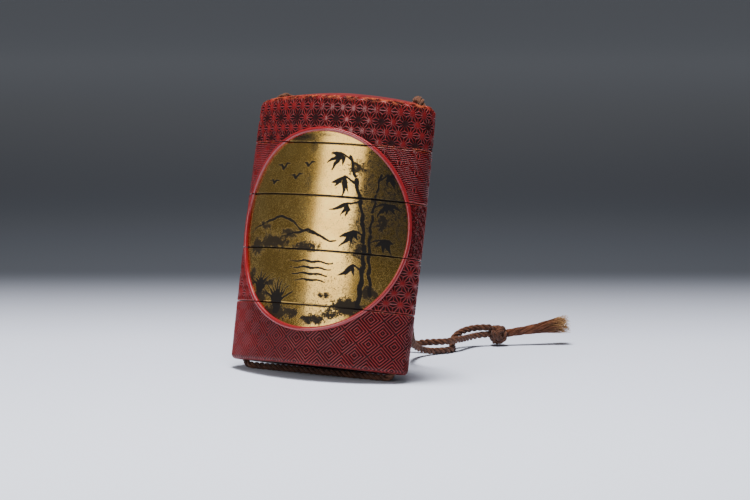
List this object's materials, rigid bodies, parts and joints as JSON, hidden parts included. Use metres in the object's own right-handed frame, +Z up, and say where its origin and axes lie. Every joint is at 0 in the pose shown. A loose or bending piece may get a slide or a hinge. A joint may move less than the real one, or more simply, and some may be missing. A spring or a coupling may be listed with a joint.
{
  "type": "inro case",
  "caption": "Small flat carved lacquer box of nesting sections on a silk cord, standing on the cord run under its base.",
  "frame": {"origin": "middle of the case's footprint on the surface it stands on, under the leaning case with the free cord left out", "axes": "+Z up from the surface, +X along the case's width to the right as the picture window is faced, the window faces -Y and the case leans back towards +Y"},
  "size_m": [0.0741, 0.1088, 0.0866],
  "materials": {
    "carved_lacquer": "deep red lacquer on wood, finely carved, with a round window of worn gold lacquer and black ink strokes",
    "silk_cord": "brown twisted silk, soft sheen",
    "frayed_silk": "untwisted silk ends, lighter golden tips"
  },
  "bodies": {
    "root": {"lid": "carved_lacquer", "upper_case": "carved_lacquer", "middle_case": "carved_lacquer", "lower_case": "carved_lacquer", "bottom_case": "carved_lacquer", "held_cord": "silk_cord", "right_strand": "silk_cord", "left_strand": "silk_cord", "cord_knot": "silk_cord", "tassel": "frayed_silk"}
  },
  "joints": []
}
